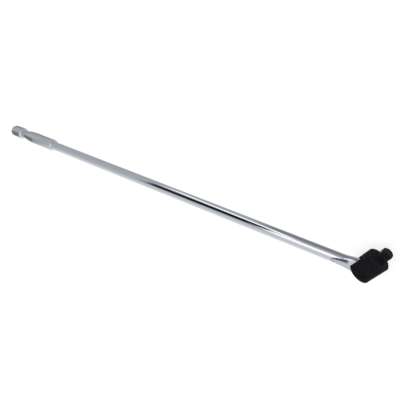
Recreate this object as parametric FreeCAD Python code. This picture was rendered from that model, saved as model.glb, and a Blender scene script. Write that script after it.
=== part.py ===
import FreeCAD, Part
import math
import os

# Breaker bar (flex-head drive handle), 12.7 mm square drive, lying on a bench.
# Millimetres. +Z up, +X along the bar towards the head. The pivot pin stands upright (along Z),
# and the head is stored turned to one side, towards +Y.
# Bar pieces are drawn with x = 0 at the pivot and the bar along -X. Head pieces are drawn with
# x = 0 at the pivot and the drive square along +X, then turned by HEAD_TURN about the pivot.

Vector = FreeCAD.Vector
X_AXIS = Vector(1, 0, 0)
Y_AXIS = Vector(0, 1, 0)
Z_AXIS = Vector(0, 0, 1)
ORIGIN = Vector(0, 0, 0)

# Driving dimensions
BAR_D = 16.0             # round shaft
TIP_TO_PIVOT = 710.2     # end of the knob to the pivot's axis
SQUARE = 12.7            # drive square, across flats
HEAD_D = 30.8            # body of the head
HEAD_TURN = 60.0         # stored angle of the head, degrees from straight
SLOT_W = 12.0            # slot between the head's two ears
PIN_D = 9.5              # pivot pin
GRIP_D = 22.4            # hand grip and end knob

# Clearances
RUNNING = 0.05           # radial, pin in the tongue and ball in its hole
SIDE_GAP = 0.3           # tongue to each ear
NOSE_GAP = 0.4           # tongue's nose to the bottom of the slot

BAR_R = BAR_D / 2
HEAD_R = HEAD_D / 2
PIN_R = PIN_D / 2
GRIP_R = GRIP_D / 2
SLOT_HALF = SLOT_W / 2

# Tongue: the forged end of the shaft
TONGUE_R = 10.2          # half its width, and the radius of its nose about the pivot
TONGUE_HALF = SLOT_HALF - SIDE_GAP
FLAT_LENGTH = 17.0       # the flats run this far back from the pivot
RUNOUT_R = 120.0         # the flats sweep up into the round bar on this radius
FLAT_TOP = 14.0          # height of what is cleared over a flat, above the blank's top
NECK_DOWN = 5.0          # the widened end starts to narrow here
NECK_BLEND = 25.0        # and is down to the bar's diameter after this length

# Grip and knob, as distances from the pivot back along the bar
GRIP_FRONT = 586.5       # front face of the grip
GRIP_TAPER = 0.2         # the grip is this much thinner in radius at its front
GRIP_SHOULDER_R = 2.6    # rounding at the front of the grip
SWELL_START = 637.0      # full diameter up to here, then it narrows to the neck
NECK_R = 7.6
GRIP_REAR = 670.5        # rear face of the grip sleeve, where the knob's neck meets it
KNOB_FRONT = 676.5       # front face of the knob
KNOB_EDGE_R = 2.6        # rounding of the knob's front edge
SHAFT_END = 650.0        # the shaft stops here, inside the grip
STUD_D = 10.0            # stud of the knob
STUD_FRONT = 636.5       # front end of the stud, inside the shaft
STUD_HOLE_END = 636.0    # bottom of its hole in the shaft

# Head
HEAD_FRONT = 24.2        # front face of the round body
HEAD_REAR = 9.6          # rear faces of the ears, behind the pivot
FRONT_CHAMFER = 1.4
REAR_CHAMFER = 0.5
BOSS_D = 20.0
BOSS_H = 1.5
BOSS_CHAMFER = 0.5
DRIVE_END = 39.8         # end face of the square
SQUARE_CORNER_R = 2.0
LEAD_R = 5.6             # the square's end is turned to a 45 degree lead, down to this radius
SHOULDER = HEAD_FRONT + BOSS_H
SLOT_BOTTOM = TONGUE_R + NOSE_GAP
PIN_LENGTH = 29.0
PIN_CHAMFER = 0.4

# Balls and their springs
BALL_D = 4.76
BALL_R = BALL_D / 2
BALL_HOLE_R = BALL_R + RUNNING
RETAINING_X = SHOULDER + 7.0        # retaining ball, from the pivot
RETAINING_STICKS_OUT = 0.9
RETAINING_Y = SQUARE / 2 + RETAINING_STICKS_OUT - BALL_R
RETAINING_BOTTOM = -4.5             # bottom of the retaining ball's hole
LIP_R = 2.0                         # the hole's mouth is staked in to this radius
LIP_DEPTH = 0.5
FRICTION_X = TONGUE_R + BALL_R + 0.02
FRICTION_BOTTOM = 21.0              # bottom of the friction ball's hole
SPRING_R = 1.75                     # middle of the wire
SPRING_WIRE_R = 0.3

# Place in the row frame: the middle of the object's box, on the bench
PIVOT = Vector(343.0, -10.0, HEAD_R)


def at_bar(shape):
    """Moves a shape drawn about the pivot to the bar's place."""
    placed = shape.copy()
    placed.translate(PIVOT)
    return placed


def at_head(shape):
    """Turns a shape drawn along the head's own axis to the stored angle and places it."""
    placed = shape.copy()
    placed.rotate(ORIGIN, Z_AXIS, HEAD_TURN)
    placed.translate(PIVOT)
    return placed


def line(a, b):
    return Part.makeLine(Vector(a[0], 0, a[1]), Vector(b[0], 0, b[1]))


def arc(a, b, c):
    """Arc through three (x, r) points."""
    ends = [Vector(p[0], 0, p[1]) for p in (a, b, c)]
    return Part.Arc(*ends).toShape()


def tangent_arc(start, end, radius, bulge):
    """Arc of one radius between two (x, r) points; bulge is the way its middle stands off the chord."""
    middle = ((start[0] + end[0]) / 2, (start[1] + end[1]) / 2)
    chord = (end[0] - start[0], end[1] - start[1])
    length = math.hypot(*chord)
    rise = radius - math.sqrt(radius ** 2 - (length / 2) ** 2)
    normal = (-chord[1] / length * bulge, chord[0] / length * bulge)
    return arc(start, (middle[0] + normal[0] * rise, middle[1] + normal[1] * rise), end)


def turned(edges):
    """Solid of revolution about X from the edges of a closed outline."""
    face = Part.Face(Part.Wire(edges))
    return face.revolve(ORIGIN, X_AXIS, 360)


def rod(radius, x_from, x_to):
    return Part.makeCylinder(radius, x_to - x_from, Vector(x_from, 0, 0), X_AXIS)


def chamfered_rod(radius, x_from, x_to, chamfer_from, chamfer_to):
    """Rod along X with a 45 degree chamfer at each end."""
    points = [(x_from, 0), (x_from, radius - chamfer_from), (x_from + chamfer_from, radius)]
    points += [(x_to - chamfer_to, radius), (x_to, radius - chamfer_to), (x_to, 0)]
    points = [p for i, p in enumerate(points) if p != points[i - 1]]
    edges = [line(p, points[(i + 1) % len(points)]) for i, p in enumerate(points)]
    return turned(edges)


def blend(x_from, r_from, x_to, r_to):
    """Two equal arcs that join two parallel lines of a turned outline smoothly."""
    run = x_to - x_from
    rise = r_to - r_from
    radius = (run ** 2 + rise ** 2) / (4 * abs(rise))
    middle = ((x_from + x_to) / 2, (r_from + r_to) / 2)
    side = 1 if run * rise > 0 else -1
    first = tangent_arc((x_from, r_from), middle, radius, -side)
    second = tangent_arc(middle, (x_to, r_to), radius, side)
    return [first, second]


def shaft_blank():
    """The bar turned and upset, before its end is flattened: nose, wide end, bar."""
    nose = 45 * math.pi / 180
    edges = [arc((TONGUE_R, 0), (TONGUE_R * math.cos(nose), TONGUE_R * math.sin(nose)), (0, TONGUE_R))]
    edges.append(line((0, TONGUE_R), (-NECK_DOWN, TONGUE_R)))
    narrow = -NECK_DOWN - NECK_BLEND
    edges += blend(-NECK_DOWN, TONGUE_R, narrow, BAR_R)
    edges.append(line((narrow, BAR_R), (-SHAFT_END + 1, BAR_R)))
    edges.append(line((-SHAFT_END + 1, BAR_R), (-SHAFT_END, BAR_R - 1)))
    edges.append(line((-SHAFT_END, BAR_R - 1), (-SHAFT_END, 0)))
    edges.append(line((-SHAFT_END, 0), (TONGUE_R, 0)))
    return turned(edges)


def pressed_flat(bar, side):
    """Flattens one side of the blank's end, with a long round run-out behind the flat."""
    low = min(side * TONGUE_HALF, side * FLAT_TOP)
    corner = Vector(-FLAT_LENGTH, -2 * TONGUE_R, low)
    over_tongue = Part.makeBox(FLAT_LENGTH + TONGUE_R + 1, 4 * TONGUE_R, FLAT_TOP - TONGUE_HALF, corner)
    roller_end = Vector(-FLAT_LENGTH, -2 * TONGUE_R, side * (TONGUE_HALF + RUNOUT_R))
    roller = Part.makeCylinder(RUNOUT_R, 4 * TONGUE_R, roller_end, Y_AXIS)
    return bar.cut(over_tongue).cut(roller)


def shaft():
    """Round bar with a forged tongue at one end and a seat for the knob's stud at the other."""
    bar = pressed_flat(pressed_flat(shaft_blank(), 1), -1)
    pin_hole = Part.makeCylinder(PIN_R + RUNNING, 4 * TONGUE_R, Vector(0, 0, -2 * TONGUE_R), Z_AXIS)
    stud_hole = rod(STUD_D / 2, -SHAFT_END - 1, -STUD_HOLE_END)
    return bar.cut(pin_hole).cut(stud_hole)


def grip_sleeve():
    """Turned grip, bored to press over the shaft, with a smaller bore behind for the knob's stud."""
    front_r = GRIP_R - GRIP_TAPER
    face_r = front_r - GRIP_SHOULDER_R
    round_off = GRIP_SHOULDER_R * (1 - math.sin(math.pi / 4))
    swell = GRIP_REAR - SWELL_START
    drop = GRIP_R - NECK_R
    swell_r = (swell ** 2 + drop ** 2) / (2 * drop)
    edges = [line((-GRIP_FRONT, BAR_R), (-GRIP_FRONT, face_r))]
    edges.append(arc((-GRIP_FRONT, face_r), (-GRIP_FRONT - round_off, front_r - round_off),
                     (-GRIP_FRONT - GRIP_SHOULDER_R, front_r)))
    edges.append(line((-GRIP_FRONT - GRIP_SHOULDER_R, front_r), (-SWELL_START, GRIP_R)))
    edges.append(tangent_arc((-SWELL_START, GRIP_R), (-GRIP_REAR, NECK_R), swell_r, -1))
    edges.append(line((-GRIP_REAR, NECK_R), (-GRIP_REAR, STUD_D / 2)))
    edges.append(line((-GRIP_REAR, STUD_D / 2), (-SHAFT_END, STUD_D / 2)))
    edges.append(line((-SHAFT_END, STUD_D / 2), (-SHAFT_END, BAR_R)))
    edges.append(line((-SHAFT_END, BAR_R), (-GRIP_FRONT, BAR_R)))
    return turned(edges)


def end_knob():
    """Turned knob with a ball end and a neck, and a stud that ties the grip and the shaft together."""
    face_r = GRIP_R - KNOB_EDGE_R
    round_off = KNOB_EDGE_R * (1 - math.sin(math.pi / 4))
    edges = [line((-STUD_FRONT, 0), (-STUD_FRONT, STUD_D / 2))]
    edges.append(line((-STUD_FRONT, STUD_D / 2), (-GRIP_REAR, STUD_D / 2)))
    edges.append(line((-GRIP_REAR, STUD_D / 2), (-GRIP_REAR, NECK_R)))
    edges.append(line((-GRIP_REAR, NECK_R), (-KNOB_FRONT, NECK_R)))
    edges.append(line((-KNOB_FRONT, NECK_R), (-KNOB_FRONT, face_r)))
    edges.append(arc((-KNOB_FRONT, face_r), (-KNOB_FRONT - round_off, GRIP_R - round_off),
                     (-KNOB_FRONT - KNOB_EDGE_R, GRIP_R)))
    cap_x = GRIP_R - TIP_TO_PIVOT
    cap_middle = (cap_x - GRIP_R * math.cos(math.pi / 4), GRIP_R * math.sin(math.pi / 4))
    edges.append(line((-KNOB_FRONT - KNOB_EDGE_R, GRIP_R), (cap_x, GRIP_R)))
    edges.append(arc((cap_x, GRIP_R), cap_middle, (-TIP_TO_PIVOT, 0)))
    edges.append(line((-TIP_TO_PIVOT, 0), (-STUD_FRONT, 0)))
    return turned(edges)


def drive_square():
    """Square drive end: rounded corners and a turned lead, from inside the boss outwards."""
    start = HEAD_FRONT - 1
    block = Part.makeBox(DRIVE_END - start, SQUARE, SQUARE, Vector(start, -SQUARE / 2, -SQUARE / 2))
    long_edges = [e for e in block.Edges if e.Length > SQUARE + 1]
    block = block.makeFillet(SQUARE_CORNER_R, long_edges)
    return block.common(chamfered_rod(SQUARE, start, DRIVE_END, 0, SQUARE - LEAD_R))


def ball_hole(depth_to):
    """Hole for the retaining ball, along Y, its mouth staked in to keep the ball."""
    face_y = SQUARE / 2
    lip_y = face_y - LIP_DEPTH
    hole = Part.makeCylinder(BALL_HOLE_R, lip_y - depth_to, Vector(RETAINING_X, depth_to, 0), Y_AXIS)
    mouth = Part.makeCone(BALL_HOLE_R, LIP_R, LIP_DEPTH, Vector(RETAINING_X, lip_y, 0), Y_AXIS)
    open_end = Part.makeCylinder(LIP_R, 1, Vector(RETAINING_X, face_y, 0), Y_AXIS)
    return hole.fuse(mouth).fuse(open_end)


def drive_head():
    """Round flex head: two ears with a slot between them, a web, a boss and the drive square."""
    body = chamfered_rod(HEAD_R, -HEAD_REAR, HEAD_FRONT, REAR_CHAMFER, FRONT_CHAMFER)
    boss = chamfered_rod(BOSS_D / 2, HEAD_FRONT - 1, SHOULDER, 0, BOSS_CHAMFER)
    solid = body.fuse(boss).fuse(drive_square())
    slot_depth = SLOT_BOTTOM + HEAD_REAR + 1
    slot = Part.makeBox(slot_depth, 2 * HEAD_D, SLOT_W, Vector(-HEAD_REAR - 1, -HEAD_D, -SLOT_HALF))
    pin_hole = Part.makeCylinder(PIN_R, 2 * HEAD_D, Vector(0, 0, -HEAD_D), Z_AXIS)
    friction_hole = rod(BALL_HOLE_R, SLOT_BOTTOM - 1, FRICTION_BOTTOM)
    solid = solid.cut(slot).cut(pin_hole).cut(friction_hole).cut(ball_hole(RETAINING_BOTTOM))
    return solid.removeSplitter()


def pivot_pin():
    """Plain steel pin, pressed into both ears, with chamfered ends just under the head's surface."""
    pin = chamfered_rod(PIN_R, -PIN_LENGTH / 2, PIN_LENGTH / 2, PIN_CHAMFER, PIN_CHAMFER)
    pin.rotate(ORIGIN, Y_AXIS, 90)
    return pin


def ball(x, y):
    return Part.makeSphere(BALL_R, Vector(x, y, 0))


def spring(length, turns):
    """Compression spring along +Z from z = 0, the ends of its wire inside its length."""
    height = length - 2 * SPRING_WIRE_R
    path = Part.makeHelix(height / turns, height, SPRING_R)
    section = Part.Wire(Part.makeCircle(SPRING_WIRE_R, Vector(SPRING_R, 0, 0), Y_AXIS))
    coil = Part.Wire(path.Edges).makePipeShell([section], True, True)
    coil.translate(Vector(0, 0, SPRING_WIRE_R))
    return coil


def friction_spring():
    """Pushes the friction ball against the tongue's nose, so that the head stays where it is put."""
    seat = FRICTION_X + math.sqrt((BALL_R + SPRING_WIRE_R) ** 2 - SPRING_R ** 2) - SPRING_WIRE_R
    coil = spring(FRICTION_BOTTOM - seat, 4)
    coil.rotate(ORIGIN, Y_AXIS, 90)
    coil.translate(Vector(seat, 0, 0))
    return coil


def retaining_spring():
    """Pushes the retaining ball out of the side of the square."""
    seat = RETAINING_Y - math.sqrt((BALL_R + SPRING_WIRE_R) ** 2 - SPRING_R ** 2) + SPRING_WIRE_R
    coil = spring(seat - RETAINING_BOTTOM, 6)
    coil.rotate(ORIGIN, X_AXIS, -90)
    coil.translate(Vector(RETAINING_X, RETAINING_BOTTOM, 0))
    return coil


def main():
    nodes = {
        "shaft": at_bar(shaft()),
        "grip_sleeve": at_bar(grip_sleeve()),
        "end_knob": at_bar(end_knob()),
        "drive_head": at_head(drive_head()),
        "pivot_pin": at_head(pivot_pin()),
        "friction_ball": at_head(ball(FRICTION_X, 0)),
        "friction_spring": at_head(friction_spring()),
        "retaining_ball": at_head(ball(RETAINING_X, RETAINING_Y)),
        "retaining_spring": at_head(retaining_spring()),
    }
    os.makedirs("parts", exist_ok=True)
    for name, shape in nodes.items():
        shape.exportStep("parts/" + name + ".step")
        box = shape.BoundBox
        size = [round(v, 2) for v in (box.XLength, box.YLength, box.ZLength)]
        print(name, len(shape.Solids), shape.isValid(), round(shape.Volume, 1), size)


main()
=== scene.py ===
import math

import bpy
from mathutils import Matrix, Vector


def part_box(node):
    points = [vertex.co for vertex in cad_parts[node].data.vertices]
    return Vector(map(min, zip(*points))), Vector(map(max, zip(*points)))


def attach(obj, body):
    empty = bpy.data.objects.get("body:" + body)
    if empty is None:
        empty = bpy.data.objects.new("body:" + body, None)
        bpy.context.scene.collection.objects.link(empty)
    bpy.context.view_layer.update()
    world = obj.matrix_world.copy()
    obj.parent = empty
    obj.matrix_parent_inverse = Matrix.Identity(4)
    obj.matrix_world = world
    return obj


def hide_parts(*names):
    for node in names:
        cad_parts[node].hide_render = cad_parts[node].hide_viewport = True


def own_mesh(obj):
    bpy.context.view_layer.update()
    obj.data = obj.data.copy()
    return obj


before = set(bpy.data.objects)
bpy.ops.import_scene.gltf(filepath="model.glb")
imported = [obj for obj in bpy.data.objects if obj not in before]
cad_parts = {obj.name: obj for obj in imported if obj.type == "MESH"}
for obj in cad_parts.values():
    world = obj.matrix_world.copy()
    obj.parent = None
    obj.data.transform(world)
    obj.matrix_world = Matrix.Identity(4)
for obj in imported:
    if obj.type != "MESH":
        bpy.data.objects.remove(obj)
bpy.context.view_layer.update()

# The camera. It looks down on the tool from beside the head, along the bar to the knob.
# The pivot pin's axis is the place that everything else is measured from.
pin_low, pin_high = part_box("pivot_pin")
PIVOT = (pin_low + pin_high) / 2
CAMERA_FROM_PIVOT = Vector((0.0397, 0.3087, 0.4688))
CAMERA_TURN = (-26.06, 33.94, 5.03)
SENSOR_MM = 36
LENS_MM = 37.11
bpy.ops.object.camera_add(location=PIVOT + CAMERA_FROM_PIVOT, rotation=[math.radians(a) for a in CAMERA_TURN])
camera = bpy.context.object
camera.name = "camera"
camera.data.sensor_width = SENSOR_MM
camera.data.lens = LENS_MM
camera.data.clip_start = 0.01
bpy.context.scene.camera = camera
bpy.context.scene.view_settings.view_transform = "Standard"

# The bench: a smooth sheet of white acrylic, far wider than the tool, which lies on it, lit a little from
# below. Polished steel would mirror it as a flat white, so it is kept out of the reflections.
BENCH_SIZE = 30.0
BENCH_WHITE = 0.86
BENCH_GLOW = 0.70
bpy.ops.object.select_all(action="DESELECT")
bpy.ops.mesh.primitive_plane_add(size=BENCH_SIZE, location=(0, 0, 0))
bench = bpy.context.object
bench.name = "bench"
bench.visible_glossy = False
acrylic = bpy.data.materials.new("lit acrylic")
acrylic.use_nodes = True
acrylic_shader = acrylic.node_tree.nodes["Principled BSDF"]
acrylic_shader.inputs["Base Color"].default_value = (BENCH_WHITE, BENCH_WHITE, BENCH_WHITE, 1)
acrylic_shader.inputs["Roughness"].default_value = 1.0
acrylic_shader.inputs["Specular IOR Level"].default_value = 0.0
acrylic_shader.inputs["Emission Color"].default_value = (1, 1, 1, 1)
acrylic_shader.inputs["Emission Strength"].default_value = BENCH_GLOW
bench.data.materials.append(acrylic)

# The studio: walls that grade from mid grey to white round the bar, hung with six dark flags, two soft boxes
# and a slanted strip light. Each has its place along the bar (-1 to 1) and round it (in degrees). Only
# reflections show them; the rest is lit by an even white room.
WALL_STOPS = [(-180, (0.86, 0.86, 0.88)), (-149, (1.05, 1.05, 1.06)), (-103, (0.62, 0.63, 0.66)),
              (-55, (0.385, 0.40, 0.43)), (40, (0.44, 0.455, 0.49)), (80, (0.45, 0.47, 0.51)),
              (113, (0.60, 0.62, 0.65)), (162, (0.77, 0.78, 0.80)), (180, (0.86, 0.86, 0.88))]
FLAG = {"along": (-0.57, -0.29), "round": (26, 81), "edge": (0.012, 2), "colour": (0.006, 0.010, 0.016)}
SOFT_BOX = {"along": (-0.28, -0.02), "round": (40, 88), "edge": (0.03, 6), "colour": (1.20, 1.20, 1.21)}
LOW_FLAG = {"along": (-0.31, 0.04), "round": (-58, 5), "edge": (0.03, 8), "colour": (0.22, 0.225, 0.25)}
SIDE_FLAG = {"along": (-1.1, -0.765), "round": (80, 178), "edge": (0.035, 10), "colour": (0.19, 0.195, 0.205)}
END_FLAG = {"along": (-1.1, -0.755), "round": (-80, -25), "edge": (0.02, 10), "colour": (0.28, 0.28, 0.29)}
ROOF_FLAG = {"along": (-0.06, 0.50), "round": (125, 155), "edge": (0.03, 3), "colour": (0.10, 0.095, 0.13)}
FAR_FLAG = {"along": (0.30, 0.62), "round": (31, 77), "edge": (0.03, 7), "colour": (0.020, 0.026, 0.036)}
FAR_BOX = {"along": (0.64, 0.92), "round": (38, 100), "edge": (0.04, 9), "colour": (1.20, 1.20, 1.21)}
STRIP_LIGHT = {"start": -8, "at": -0.52, "rise": 120, "half_width": 10.5, "along": (-0.53, -0.24), "edge": (0.03, 3)}
STRIP_COLOUR = (1.25, 1.25, 1.26)
ROOM_LIGHT = 0.43
BACKDROP = 1.06

studio = bpy.data.worlds.new("studio")
bpy.context.scene.world = studio
studio.use_nodes = True
sky = studio.node_tree
sky.nodes.clear()


def sky_math(operation, first, second):
    """A Math node of the studio; each input is a socket or a number."""
    node = sky.nodes.new("ShaderNodeMath")
    node.operation = operation
    for socket, value in zip(node.inputs, (first, second)):
        if isinstance(value, (int, float)):
            socket.default_value = value
        else:
            sky.links.new(value, socket)
    return node.outputs[0]


def soft_step(value, start, end):
    """Rises smoothly from 0 where value is start to 1 where it is end."""
    node = sky.nodes.new("ShaderNodeMapRange")
    node.interpolation_type = "SMOOTHSTEP"
    sky.links.new(value, node.inputs["Value"])
    node.inputs["From Min"].default_value = start
    node.inputs["From Max"].default_value = end
    return node.outputs["Result"]


def soft_band(value, low, high, edge):
    """1 where value lies between low and high, with soft edges."""
    rise = soft_step(value, low - edge, low + edge)
    fall = soft_step(value, high + edge, high - edge)
    return sky_math("MULTIPLY", rise, fall)


def hang(below, mask, colour):
    """Puts a card of one colour in front of what is there so far, where the mask is 1."""
    node = sky.nodes.new("ShaderNodeMix")
    node.data_type = "RGBA"
    sky.links.new(mask, node.inputs["Factor"])
    sky.links.new(below, node.inputs["A"])
    node.inputs["B"].default_value = (*colour, 1)
    return node.outputs["Result"]


direction = sky.nodes.new("ShaderNodeTexCoord").outputs["Generated"]
split = sky.nodes.new("ShaderNodeSeparateXYZ")
sky.links.new(direction, split.inputs["Vector"])
along = split.outputs["X"]
round_bar = sky_math("MULTIPLY", sky_math("ARCTAN2", split.outputs["Z"], split.outputs["Y"]), math.degrees(1))
walls = sky.nodes.new("ShaderNodeValToRGB")
sky.links.new(sky_math("DIVIDE", sky_math("ADD", round_bar, 180.0), 360.0), walls.inputs["Fac"])
for index, (angle, colour) in enumerate(WALL_STOPS):
    place = (angle + 180) / 360
    ends = walls.color_ramp.elements
    stop = ends[0] if index == 0 else ends[-1] if index == len(WALL_STOPS) - 1 else ends.new(place)
    stop.position = place
    stop.color = (*colour, 1)
seen = walls.outputs["Color"]
for card in (SIDE_FLAG, END_FLAG, LOW_FLAG, ROOF_FLAG, FLAG, FAR_FLAG, SOFT_BOX, FAR_BOX):
    across = soft_band(along, *card["along"], card["edge"][0])
    turned = soft_band(round_bar, *card["round"], card["edge"][1])
    seen = hang(seen, sky_math("MULTIPLY", across, turned), card["colour"])
leaned = sky_math("SUBTRACT", along, STRIP_LIGHT["at"])
centred = sky_math("SUBTRACT", round_bar, sky_math("ADD", sky_math("MULTIPLY", leaned, STRIP_LIGHT["rise"]),
                                                   float(STRIP_LIGHT["start"])))
strip = sky_math("MULTIPLY", soft_band(along, *STRIP_LIGHT["along"], STRIP_LIGHT["edge"][0]),
                 soft_band(centred, -STRIP_LIGHT["half_width"], STRIP_LIGHT["half_width"], STRIP_LIGHT["edge"][1]))
seen = hang(seen, strip, STRIP_COLOUR)
mirrored = sky.nodes.new("ShaderNodeBackground")
sky.links.new(seen, mirrored.inputs["Color"])
ray = sky.nodes.new("ShaderNodeLightPath").outputs
filled = sky.nodes.new("ShaderNodeBackground")
filled.inputs["Color"].default_value = (1, 1, 1, 1)
backdrop = sky_math("MULTIPLY", ray["Is Camera Ray"], BACKDROP - ROOM_LIGHT)
sky.links.new(sky_math("ADD", backdrop, ROOM_LIGHT), filled.inputs["Strength"])
by_ray = sky.nodes.new("ShaderNodeMixShader")
sky.links.new(ray["Is Glossy Ray"], by_ray.inputs["Fac"])
sky.links.new(filled.outputs["Background"], by_ray.inputs[1])
sky.links.new(mirrored.outputs["Background"], by_ray.inputs[2])
sky.links.new(by_ray.outputs["Shader"], sky.nodes.new("ShaderNodeOutputWorld").inputs["Surface"])

# The shaft: one 16 mm round steel bar. Its end is upset a little wider and pressed flat into a tongue, which
# runs out into the bar in a long, slightly dished slope, and is drilled for the pin. The other end is bored
# for the knob's stud. Ground, polished and chrome plated.
MM = 0.001
BAR_R = 8.0 * MM
TONGUE_R = 10.2 * MM
TONGUE_HALF = 5.7 * MM
FLAT_LENGTH = 17.0 * MM
RUNOUT_R = 120.0 * MM
DISH_R = 60.0 * MM
DISH_DEPTH = 0.25 * MM
PRESS_HALF = 14.0 * MM
PRESS_STEPS = 16
PRESS_SIDES = 720
NECK_DOWN = 5.0 * MM
NECK_BLEND = 25.0 * MM
PIN_HOLE_R = 4.8 * MM
STUD_R = 5.0 * MM
STUD_HOLE = 14.0 * MM
SHAFT_EDGE = 1.0 * MM
FORGED_EDGE = 0.6 * MM
HOLD = 1.2 * MM
SIDES = 96
shaft_low, shaft_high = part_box("shaft")


def arc_stations(centre_x, centre_r, radius, start, end, steps):
    """Stations (x, radius) along an arc of a turned outline; angles are in degrees from +X outwards."""
    angles = [math.radians(start + (end - start) * i / steps) for i in range(steps + 1)]
    return [(centre_x + radius * math.cos(a), centre_r + radius * math.sin(a)) for a in angles]


def ease_stations(start, end, steps):
    """Stations along a smooth S from one (x, radius) to another, level at both ends."""
    stations = []
    for i in range(steps + 1):
        share = i / steps
        rise = (1 - math.cos(math.pi * share)) / 2
        stations.append((start[0] + (end[0] - start[0]) * share, start[1] + (end[1] - start[1]) * rise))
    return stations


def draw_out(x_from, stations):
    """Extrudes the selected ring along the bar's line through the stations, resizing it at each."""
    for (x, radius), (x_last, radius_last) in zip(stations, [x_from] + stations[:-1]):
        bpy.ops.mesh.extrude_region_move(TRANSFORM_OT_translate={"value": (x - x_last, 0, 0)})
        if radius and radius != radius_last:
            ratio = radius / radius_last
            bpy.ops.transform.resize(value=(1, ratio, ratio), center_override=(x, PIVOT.y, PIVOT.z))
    if not stations[-1][1]:
        bpy.ops.mesh.merge(type="CENTER")


def held(outline):
    """Puts a ring just inside each end of a long straight run, so that its shading stays straight."""
    stations = [outline[0]]
    for (x_last, r_last), (x, radius) in zip(outline, outline[1:]):
        if abs(x - x_last) > 4 * HOLD and r_last and radius:
            share = HOLD / abs(x - x_last)
            for part in (share, 1 - share):
                stations.append((x_last + (x - x_last) * part, r_last + (radius - r_last) * part))
        stations.append((x, radius))
    return stations


def turned_piece(name, outline, sides=SIDES):
    """A piece turned about the bar's line. Its outline either starts and ends on the line, or is a closed loop."""
    outline = held(outline)
    solid = outline[0][1] == 0
    first = outline[1] if solid else outline[0]
    bpy.ops.object.select_all(action="DESELECT")
    bpy.ops.mesh.primitive_circle_add(vertices=sides, radius=first[1], location=(first[0], PIVOT.y, PIVOT.z),
                                      rotation=(0, math.pi / 2, 0))
    piece = bpy.context.object
    piece.name = name
    bpy.ops.object.transform_apply(location=True, rotation=True, scale=True)
    bpy.ops.object.mode_set(mode="EDIT")
    if solid:
        draw_out(first, outline[2:])
        bpy.ops.mesh.select_all(action="DESELECT")
        bpy.ops.object.mode_set(mode="OBJECT")
        for point in piece.data.vertices[:sides]:
            point.select = True
        bpy.ops.object.mode_set(mode="EDIT")
        draw_out(first, outline[:1])
    else:
        draw_out(first, outline[1:] + outline[:1])
    bpy.ops.mesh.select_all(action="SELECT")
    bpy.ops.mesh.remove_doubles(threshold=0.000005)
    bpy.ops.mesh.normals_make_consistent(inside=False)
    bpy.ops.object.mode_set(mode="OBJECT")
    return piece


def machine(piece, tool, operation="DIFFERENCE"):
    """Cuts one shape with another, or joins them, and clears the tool away."""
    cut = piece.modifiers.new("machined", "BOOLEAN")
    cut.object = tool
    cut.operation = operation
    cut.solver = "EXACT"
    bpy.ops.object.select_all(action="DESELECT")
    bpy.context.view_layer.objects.active = piece
    bpy.ops.object.modifier_apply(modifier=cut.name)
    bpy.data.objects.remove(tool)


def drill(piece, x, radius, axis, sides=64, depth=0.1, start=None):
    """Drills a round hole through a piece, or from start onwards; axis is the rotation that points the drill."""
    place = (x, PIVOT.y, PIVOT.z) if start is None else start
    bpy.ops.object.select_all(action="DESELECT")
    bpy.ops.mesh.primitive_cylinder_add(vertices=sides, radius=radius, depth=depth, location=place, rotation=axis)
    machine(piece, bpy.context.object)


def finish_piece(piece, edge, segments=2, sharper_than=30):
    """Breaks the sharp edges of a machined piece and smooths its curved faces."""
    bpy.ops.object.select_all(action="DESELECT")
    piece.select_set(True)
    bpy.context.view_layer.objects.active = piece
    if edge:
        broken = piece.modifiers.new("broken edges", "BEVEL")
        broken.width = edge
        broken.segments = segments
        broken.limit_method = "ANGLE"
        broken.angle_limit = math.radians(sharper_than)
        broken.miter_outer = "MITER_ARC"
        bpy.ops.object.modifier_apply(modifier=broken.name)
    bpy.ops.object.shade_smooth_by_angle(angle=math.radians(35))


nose = arc_stations(PIVOT.x, 0, TONGUE_R, 0, 90, 14)
nose[0] = (shaft_high.x, 0)
waist = ease_stations((PIVOT.x - NECK_DOWN, TONGUE_R), (PIVOT.x - NECK_DOWN - NECK_BLEND, BAR_R), 14)
tail = [(shaft_low.x + SHAFT_EDGE, BAR_R), (shaft_low.x, BAR_R - SHAFT_EDGE), (shaft_low.x, STUD_R),
        (shaft_low.x + STUD_HOLE, STUD_R), (shaft_low.x + STUD_HOLE, 0)]
shaft = turned_piece("chromed_bar", nose + waist + tail)
crown_stations = []
for step in range(PRESS_STEPS + 1):
    across = (2 * step / PRESS_STEPS - 1) * PRESS_HALF
    crown_stations.append((PIVOT.x + across, RUNOUT_R + DISH_DEPTH - across ** 2 / (2 * DISH_R)))
press_outline = [(PIVOT.x - PRESS_HALF, 0)] + crown_stations + [(PIVOT.x + PRESS_HALF, 0)]
for side in (1, -1):
    flat_z = PIVOT.z + side * TONGUE_HALF
    press_x = PIVOT.x - FLAT_LENGTH
    roller = turned_piece("roller", press_outline, PRESS_SIDES)
    bpy.ops.object.select_all(action="DESELECT")
    roller.select_set(True)
    bpy.ops.transform.rotate(value=math.pi / 2, orient_axis="Z", center_override=PIVOT)
    bpy.ops.transform.translate(value=(-FLAT_LENGTH, 0, side * (TONGUE_HALF + RUNOUT_R)))
    machine(shaft, roller)
    bpy.ops.mesh.primitive_cube_add(size=1, location=(press_x + 2 * TONGUE_R, PIVOT.y, flat_z + side * TONGUE_R),
                                    scale=(4 * TONGUE_R, 4 * TONGUE_R, 2 * TONGUE_R))
    machine(shaft, bpy.context.object)
drill(shaft, PIVOT.x, PIN_HOLE_R, (0, 0, 0))
finish_piece(shaft, FORGED_EDGE, 3, 12)
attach(shaft, "bar")
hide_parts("shaft")


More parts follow.
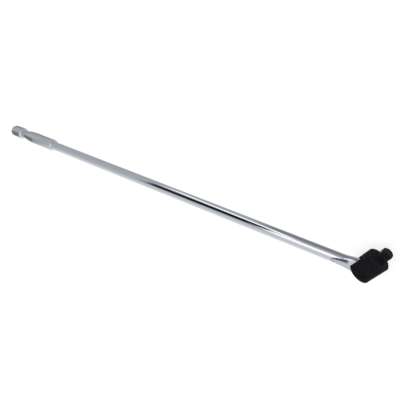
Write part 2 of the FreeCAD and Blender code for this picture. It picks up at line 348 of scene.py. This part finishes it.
def new_group(name, inputs, outputs):
    """An empty shader node group with named inputs (name, kind, value) and outputs (name, kind)."""
    group = bpy.data.node_groups.new(name, "ShaderNodeTree")
    for label, kind, value in inputs:
        group.interface.new_socket(label, in_out="INPUT", socket_type=kind).default_value = value
    for label, kind in outputs:
        group.interface.new_socket(label, in_out="OUTPUT", socket_type=kind)
    return group, group.nodes.new("NodeGroupInput"), group.nodes.new("NodeGroupOutput")


def add_node(tree, kind, links=(), **values):
    """A node with its settings and input values; links pairs an input's name with the socket that feeds it."""
    node = tree.nodes.new(kind)
    for key, value in values.items():
        if hasattr(node, key):
            setattr(node, key, value)
        else:
            node.inputs[key.replace("_", " ")].default_value = value
    for name, socket in links:
        tree.links.new(socket, node.inputs[name])
    return node


# Polishing: fine scratches that run round the bar's line, and soft swells of the surface under the plate.
polishing, polish_in, polish_out = new_group(
    "polishing marks",
    [("Across", "NodeSocketFloat", 9000.0), ("Round", "NodeSocketFloat", 120.0),
     ("Swell Size", "NodeSocketFloat", 140.0), ("Swell", "NodeSocketFloat", 0.8)],
    [("Height", "NodeSocketFloat"), ("Scratches", "NodeSocketFloat")])
place = add_node(polishing, "ShaderNodeTexCoord").outputs["Object"]
stretch = add_node(polishing, "ShaderNodeCombineXYZ", [("X", polish_in.outputs["Across"]),
                                                       ("Y", polish_in.outputs["Round"]),
                                                       ("Z", polish_in.outputs["Round"])])
fine = add_node(polishing, "ShaderNodeVectorMath", operation="MULTIPLY")
polishing.links.new(place, fine.inputs[0])
polishing.links.new(stretch.outputs[0], fine.inputs[1])
scratch = add_node(polishing, "ShaderNodeTexNoise", [("Vector", fine.outputs[0])], Scale=1.0, Detail=3.0)
swells = add_node(polishing, "ShaderNodeTexNoise", [("Vector", place), ("Scale", polish_in.outputs["Swell Size"])],
                  Detail=1.0)
lift = add_node(polishing, "ShaderNodeMath", [(0, swells.outputs["Fac"]), (1, polish_in.outputs["Swell"])],
                operation="MULTIPLY")
total = add_node(polishing, "ShaderNodeMath", [(0, lift.outputs[0]), (1, scratch.outputs["Fac"])], operation="ADD")
polishing.links.new(total.outputs[0], polish_out.inputs["Height"])
polishing.links.new(scratch.outputs["Fac"], polish_out.inputs["Scratches"])


def new_material(name, **constants):
    """A material with a Principled shader; constants are that shader's own values."""
    material = bpy.data.materials.new(name)
    material.use_nodes = True
    shader = material.node_tree.nodes["Principled BSDF"]
    for key, value in constants.items():
        shader.inputs[key.replace("_", " ")].default_value = value
    return material, material.node_tree, shader


def dress(piece, material):
    """Gives a piece its material in every slot it has, or in a new one."""
    if not piece.material_slots:
        piece.data.materials.append(material)
    for place_in_list in piece.material_slots:
        place_in_list.material = material


chrome, chrome_tree, chrome_shader = new_material("chrome plate", Metallic=1.0)
marks = add_node(chrome_tree, "ShaderNodeGroup", node_tree=polishing)
marks.inputs["Across"].default_value = 9000.0
clouds = add_node(chrome_tree, "ShaderNodeTexNoise",
                  [("Vector", add_node(chrome_tree, "ShaderNodeTexCoord").outputs["Object"])], Scale=55.0, Detail=4.0)
tint = add_node(chrome_tree, "ShaderNodeMix", [("Factor", clouds.outputs["Fac"])], data_type="RGBA",
                A=(0.80, 0.81, 0.835, 1), B=(0.84, 0.85, 0.87, 1))
chrome_tree.links.new(tint.outputs["Result"], chrome_shader.inputs["Base Color"])
gloss = add_node(chrome_tree, "ShaderNodeMapRange", [("Value", marks.outputs["Scratches"])])
gloss.inputs["To Min"].default_value = 0.02
gloss.inputs["To Max"].default_value = 0.05
chrome_tree.links.new(gloss.outputs["Result"], chrome_shader.inputs["Roughness"])
relief = add_node(chrome_tree, "ShaderNodeBump", [("Height", marks.outputs["Height"])], Strength=0.5,
                  Distance=0.000001)
chrome_tree.links.new(relief.outputs["Normal"], chrome_shader.inputs["Normal"])
dress(shaft, chrome)

# The grip sleeve: a turned steel tube pressed over the bar, nearly parallel, with a rounded front
# shoulder and a long swell down to a waist behind the hand. Chrome plated like the bar.
grip_low, grip_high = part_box("grip_sleeve")
GRIP_R = (grip_high.z - grip_low.z) / 2
GRIP_TAPER = 0.2 * MM
GRIP_SHOULDER_R = 2.6 * MM
SWELL_LENGTH = 33.5 * MM
WAIST_R = 7.6 * MM
front_r = GRIP_R - GRIP_TAPER
swell_r = (SWELL_LENGTH ** 2 + (GRIP_R - WAIST_R) ** 2) / (2 * (GRIP_R - WAIST_R))
swell_angle = math.degrees(math.asin(SWELL_LENGTH / swell_r))
shoulder = arc_stations(grip_high.x - GRIP_SHOULDER_R, front_r - GRIP_SHOULDER_R, GRIP_SHOULDER_R, 0, 90, 10)
swell = arc_stations(grip_low.x + SWELL_LENGTH, GRIP_R - swell_r, swell_r, 90, 90 + swell_angle, 24)
bore = [(grip_low.x, STUD_R), (shaft_low.x, STUD_R), (shaft_low.x, BAR_R), (grip_high.x, BAR_R)]
grip = turned_piece("hand_grip", shoulder + swell + bore)
finish_piece(grip, 0)
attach(grip, "bar")
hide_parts("grip_sleeve")
dress(grip, chrome)

# The end knob: turned steel with a round end, a square shoulder and a short neck against the grip. Its stud
# goes through the grip's tail into the bar and holds all three together.
knob_low, knob_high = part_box("end_knob")
KNOB_R = (knob_high.z - knob_low.z) / 2
KNOB_EDGE_R = 2.6 * MM
NECK_LENGTH = 6.0 * MM
NECK_FILLET = 0.8 * MM
NECK_CHAMFER = 0.3 * MM
STUD_CHAMFER = 0.5 * MM
neck_end = grip_low.x - NECK_LENGTH
stud = [(knob_high.x, 0), (knob_high.x, STUD_R - STUD_CHAMFER), (knob_high.x - STUD_CHAMFER, STUD_R),
        (grip_low.x, STUD_R)]
neck = [(grip_low.x, WAIST_R - NECK_CHAMFER), (grip_low.x - NECK_CHAMFER, WAIST_R)]
neck += arc_stations(neck_end + NECK_FILLET, WAIST_R + NECK_FILLET, NECK_FILLET, 270, 180, 5)
rim = arc_stations(neck_end - KNOB_EDGE_R, KNOB_R - KNOB_EDGE_R, KNOB_EDGE_R, 0, 90, 10)
ball_end = arc_stations(knob_low.x + KNOB_R, 0, KNOB_R, 90, 180, 18)
ball_end[-1] = (knob_low.x, 0)
knob = turned_piece("end_knob_turned", stud + neck + rim + ball_end)
finish_piece(knob, 0)
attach(knob, "bar")
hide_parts("end_knob")
dress(knob, chrome)

# The drive head: one steel forging, turned round, slotted into two ears for the tongue and milled to the
# 12.7 mm drive square, with a boss at its root. Hardened and blacked, a thin matt oxide with no plate.
HEAD_TURN = math.radians(60)
HEAD_R = 15.4 * MM
HEAD_FRONT = 24.2 * MM
HEAD_REAR = 9.6 * MM
FRONT_CHAMFER = 1.4 * MM
REAR_CHAMFER = 0.5 * MM
BOSS_R = 10.0 * MM
BOSS_HEIGHT = 1.5 * MM
BOSS_CHAMFER = 0.5 * MM
SQUARE = 12.7 * MM
SQUARE_CORNER_R = 2.0 * MM
DRIVE_END = 39.8 * MM
LEAD_R = 5.6 * MM
SLOT_HALF = 6.0 * MM
SLOT_BOTTOM = 10.6 * MM
SLOT_CORNER_R = 0.8 * MM
PIN_R = 4.75 * MM
BALL_R = 2.38 * MM
BALL_HOLE_R = 2.43 * MM
BALL_MOUTH_R = 2.0 * MM
BALL_LIP = 0.5 * MM
BALL_ALONG = 7.0 * MM
RETAINING_FLOOR = -4.5 * MM
FRICTION_FLOOR = 21.0 * MM
HEAD_EDGE = 0.3 * MM
HEAD_SIDES = 128
SQUARE_ROOT = 2.0 * MM
DRILL_RUN_IN = 1.0 * MM
shoulder_x = PIVOT.x + HEAD_FRONT + BOSS_HEIGHT
end_x = PIVOT.x + DRIVE_END
front_x = PIVOT.x + HEAD_FRONT
rear_x = PIVOT.x - HEAD_REAR
body_outline = [(rear_x, 0), (rear_x, HEAD_R - REAR_CHAMFER), (rear_x + REAR_CHAMFER, HEAD_R),
                (front_x - FRONT_CHAMFER, HEAD_R), (front_x, HEAD_R - FRONT_CHAMFER), (front_x, BOSS_R),
                (shoulder_x - BOSS_CHAMFER, BOSS_R), (shoulder_x, BOSS_R - BOSS_CHAMFER), (shoulder_x, 0)]
head = turned_piece("flex_head", body_outline, HEAD_SIDES)

bpy.ops.mesh.primitive_cube_add(size=1, location=((shoulder_x + end_x - SQUARE_ROOT) / 2, PIVOT.y, PIVOT.z),
                                scale=(end_x - shoulder_x + SQUARE_ROOT, SQUARE, SQUARE))
square = bpy.context.object
bpy.ops.object.transform_apply(location=True, rotation=True, scale=True)
bpy.ops.object.mode_set(mode="EDIT")
bpy.ops.mesh.select_mode(type="EDGE")
bpy.ops.mesh.select_all(action="DESELECT")
bpy.ops.object.mode_set(mode="OBJECT")
for edge in square.data.edges:
    ends = [square.data.vertices[i].co for i in edge.vertices]
    edge.select = abs(ends[0].x - ends[1].x) > SQUARE
bpy.ops.object.mode_set(mode="EDIT")
bpy.ops.mesh.bevel(offset=SQUARE_CORNER_R, segments=8)
bpy.ops.object.mode_set(mode="OBJECT")
root_x = shoulder_x - SQUARE_ROOT
lead = turned_piece("lead", [(root_x, 0), (root_x, SQUARE), (end_x - SQUARE + LEAD_R, SQUARE), (end_x, LEAD_R),
                             (end_x, 0)], HEAD_SIDES)
machine(square, lead, "INTERSECT")
machine(head, square, "UNION")

bpy.ops.mesh.primitive_cube_add(size=1, location=(PIVOT.x + SLOT_BOTTOM - HEAD_R, PIVOT.y, PIVOT.z),
                                scale=(2 * HEAD_R, 3 * HEAD_R, 2 * SLOT_HALF))
slot = bpy.context.object
bpy.ops.object.transform_apply(location=True, rotation=True, scale=True)
bpy.ops.object.mode_set(mode="EDIT")
bpy.ops.mesh.select_all(action="DESELECT")
bpy.ops.object.mode_set(mode="OBJECT")
for edge in slot.data.edges:
    ends = [slot.data.vertices[i].co for i in edge.vertices]
    edge.select = abs(ends[0].y - ends[1].y) > HEAD_R and min(ends[0].x, ends[1].x) > PIVOT.x
bpy.ops.object.mode_set(mode="EDIT")
bpy.ops.mesh.bevel(offset=SLOT_CORNER_R, segments=4)
bpy.ops.object.mode_set(mode="OBJECT")
machine(head, slot)
drill(head, PIVOT.x, PIN_R, (0, 0, 0), 96)
friction_start = (PIVOT.x + (SLOT_BOTTOM - DRILL_RUN_IN + FRICTION_FLOOR) / 2, PIVOT.y, PIVOT.z)
drill(head, 0, BALL_HOLE_R, (0, math.pi / 2, 0), 48, FRICTION_FLOOR - SLOT_BOTTOM + DRILL_RUN_IN,
      friction_start)
ball_x = shoulder_x + BALL_ALONG
mouth_y = SQUARE / 2 - BALL_LIP
ball_hole_middle = (ball_x, PIVOT.y + (RETAINING_FLOOR + mouth_y) / 2, PIVOT.z)
drill(head, 0, BALL_HOLE_R, (math.pi / 2, 0, 0), 48, mouth_y - RETAINING_FLOOR, ball_hole_middle)
bpy.ops.object.select_all(action="DESELECT")
bpy.ops.mesh.primitive_cone_add(vertices=48, radius1=BALL_HOLE_R, radius2=BALL_MOUTH_R, depth=2 * BALL_LIP,
                                location=(ball_x, PIVOT.y + SQUARE / 2, PIVOT.z), rotation=(-math.pi / 2, 0, 0))
machine(head, bpy.context.object)
finish_piece(head, HEAD_EDGE, 3, 35)


def turn_with_head(piece):
    """Turns a piece that was made in line with the bar about the pivot, to where the head is folded."""
    bpy.ops.object.select_all(action="DESELECT")
    piece.select_set(True)
    bpy.context.view_layer.objects.active = piece
    bpy.ops.transform.rotate(value=-HEAD_TURN, orient_axis="Z", center_override=PIVOT)
    bpy.ops.object.transform_apply(location=True, rotation=True, scale=True)


turn_with_head(head)
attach(head, "head")
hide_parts("drive_head")

# Blacking is thin and matt: a fine even grain, slight clouds, and bare steel showing dimly where edges rub.
oxide, oxide_tree, oxide_shader = new_material("black oxide", Metallic=0.0)
oxide_shader.inputs["Specular IOR Level"].default_value = 0.012
oxide_place = add_node(oxide_tree, "ShaderNodeTexCoord").outputs["Object"]
grain = add_node(oxide_tree, "ShaderNodeTexNoise", [("Vector", oxide_place)], Scale=5200.0, Detail=2.0)
cloud = add_node(oxide_tree, "ShaderNodeTexNoise", [("Vector", oxide_place)], Scale=160.0, Detail=4.0)
blacking = add_node(oxide_tree, "ShaderNodeMix", [("Factor", cloud.outputs["Fac"])], data_type="RGBA",
                    A=(0.0108, 0.0113, 0.0150, 1), B=(0.0168, 0.0175, 0.0225, 1))
edges = add_node(oxide_tree, "ShaderNodeMapRange",
                 [("Value", add_node(oxide_tree, "ShaderNodeNewGeometry").outputs["Pointiness"])])
edges.inputs["From Min"].default_value = 0.54
edges.inputs["From Max"].default_value = 0.66
rubbed = add_node(oxide_tree, "ShaderNodeMath", [(0, edges.outputs["Result"]), (1, cloud.outputs["Fac"])],
                  operation="MULTIPLY")
worn = add_node(oxide_tree, "ShaderNodeMix", [("Factor", rubbed.outputs[0]), ("A", blacking.outputs["Result"])],
                data_type="RGBA", B=(0.035, 0.035, 0.038, 1))
oxide_tree.links.new(worn.outputs["Result"], oxide_shader.inputs["Base Color"])
sheen = add_node(oxide_tree, "ShaderNodeMapRange", [("Value", cloud.outputs["Fac"])])
sheen.inputs["To Min"].default_value = 0.40
sheen.inputs["To Max"].default_value = 0.56
oxide_tree.links.new(sheen.outputs["Result"], oxide_shader.inputs["Roughness"])
pits = add_node(oxide_tree, "ShaderNodeBump", [("Height", grain.outputs["Fac"])], Strength=0.5, Distance=0.00004)
oxide_tree.links.new(pits.outputs["Normal"], oxide_shader.inputs["Normal"])
dress(head, oxide)

# The pivot pin: plain round steel, blacked like the head, pressed through both ears and the tongue, and
# left just under the surface of the ears. Each end has a small centre mark from turning.
PIN_CHAMFER = 0.4 * MM
CENTRE_MARK = 0.8 * MM
pin_half = (pin_high.z - pin_low.z) / 2
half_outline = [(pin_half - 0.5 * CENTRE_MARK, 0), (pin_half, CENTRE_MARK), (pin_half, PIN_R - PIN_CHAMFER),
                (pin_half - PIN_CHAMFER, PIN_R)]
pin_outline = [(PIVOT.x + x, r) for x, r in half_outline] + [(PIVOT.x - x, r) for x, r in reversed(half_outline)]
pin = turned_piece("cross_pin", pin_outline, 64)
bpy.ops.object.select_all(action="DESELECT")
pin.select_set(True)
bpy.ops.transform.rotate(value=math.pi / 2, orient_axis="Y", center_override=PIVOT)
bpy.ops.object.transform_apply(location=True, rotation=True, scale=True)
finish_piece(pin, 0)
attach(pin, "head")
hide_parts("pivot_pin")

# The pin's blacking is the head's, painted a little paler to cancel the shade that falls on its ends, which sit
# recessed under the ears.
pin_black_lightened = oxide.copy()
pin_black_lightened.name = "blacked pin painted lighter"
pin_shade = pin_black_lightened.node_tree.nodes[blacking.name]
# Painted light: these two tones lift the pin above the head's blacking against the shade of its recess.
pin_shade.inputs["A"].default_value = (0.017, 0.0175, 0.022, 1)
pin_shade.inputs["B"].default_value = (0.024, 0.0245, 0.030, 1)
dress(pin, pin_black_lightened)

# The friction ball and its spring, in a hole in the head's web: the spring presses the ball on the tongue's
# round nose, so that the head stays at the angle where it is put. Hardened bearing steel and spring wire.
bearing, bearing_tree, bearing_shader = new_material("bearing steel", Metallic=1.0)
ball_marks = add_node(bearing_tree, "ShaderNodeGroup", node_tree=polishing)
ball_marks.inputs["Across"].default_value = 2500.0
ball_marks.inputs["Round"].default_value = 2500.0
ball_tint = add_node(bearing_tree, "ShaderNodeMix", [("Factor", ball_marks.outputs["Scratches"])],
                     data_type="RGBA", A=(0.52, 0.52, 0.53, 1), B=(0.66, 0.66, 0.67, 1))
bearing_tree.links.new(ball_tint.outputs["Result"], bearing_shader.inputs["Base Color"])
ball_gloss = add_node(bearing_tree, "ShaderNodeMapRange", [("Value", ball_marks.outputs["Scratches"])])
ball_gloss.inputs["To Min"].default_value = 0.08
ball_gloss.inputs["To Max"].default_value = 0.22
bearing_tree.links.new(ball_gloss.outputs["Result"], bearing_shader.inputs["Roughness"])
ball_relief = add_node(bearing_tree, "ShaderNodeBump", [("Height", ball_marks.outputs["Height"])], Strength=0.3,
                       Distance=0.00001)
bearing_tree.links.new(ball_relief.outputs["Normal"], bearing_shader.inputs["Normal"])
dress(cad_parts["friction_ball"], bearing)

wire, wire_tree, wire_shader = new_material("spring wire", Metallic=1.0)
wire_marks = add_node(wire_tree, "ShaderNodeGroup", node_tree=polishing)
wire_marks.inputs["Across"].default_value = 900.0
wire_marks.inputs["Round"].default_value = 4000.0
wire_tint = add_node(wire_tree, "ShaderNodeMix", [("Factor", wire_marks.outputs["Scratches"])], data_type="RGBA",
                     A=(0.26, 0.25, 0.25, 1), B=(0.44, 0.43, 0.42, 1))
wire_tree.links.new(wire_tint.outputs["Result"], wire_shader.inputs["Base Color"])
wire_gloss = add_node(wire_tree, "ShaderNodeMapRange", [("Value", wire_marks.outputs["Scratches"])])
wire_gloss.inputs["To Min"].default_value = 0.25
wire_gloss.inputs["To Max"].default_value = 0.45
wire_tree.links.new(wire_gloss.outputs["Result"], wire_shader.inputs["Roughness"])
dress(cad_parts["friction_spring"], wire)

# The retaining ball and its spring, in a hole in one side of the square: the ball stands proud of the face,
# held in by the hole's staked lip, and clicks into the recess in a socket. The spring is wound from round
# wire, and shortens as the ball is pressed in.
dress(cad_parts["retaining_ball"], bearing)

COIL_R = 1.75 * MM
WIRE_R = 0.3 * MM
WIRE_SIDES = 16
COIL_TURNS = 6
STEPS_PER_TURN = 40
COIL_LENGTH = 7.64 * MM
bpy.ops.object.select_all(action="DESELECT")
bpy.ops.mesh.primitive_circle_add(vertices=WIRE_SIDES, radius=WIRE_R, location=(COIL_R, 0, WIRE_R),
                                  rotation=(math.pi / 2, 0, 0))
coil = bpy.context.object
coil.name = "coil_under_ball"
bpy.ops.object.transform_apply(location=True, rotation=True, scale=True)
wound = coil.modifiers.new("wound", "SCREW")
wound.axis = "Z"
wound.angle = 2 * math.pi
wound.screw_offset = (COIL_LENGTH - 2 * WIRE_R) / COIL_TURNS
wound.iterations = COIL_TURNS
wound.steps = STEPS_PER_TURN
wound.render_steps = STEPS_PER_TURN
bpy.ops.object.modifier_apply(modifier=wound.name)
bpy.ops.object.mode_set(mode="EDIT")
bpy.ops.mesh.select_all(action="SELECT")
bpy.ops.mesh.remove_doubles(threshold=0.000001)
bpy.ops.mesh.fill_holes(sides=0)
bpy.ops.mesh.normals_make_consistent(inside=False)
bpy.ops.object.mode_set(mode="OBJECT")
coil.rotation_euler = (-math.pi / 2, 0, 0)
coil.location = (ball_x, PIVOT.y + RETAINING_FLOOR, PIVOT.z)
bpy.ops.object.transform_apply(location=True, rotation=True, scale=True)
turn_with_head(coil)
finish_piece(coil, 0)
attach(coil, "head")
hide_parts("retaining_spring")
dress(coil, wire)
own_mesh(coil)
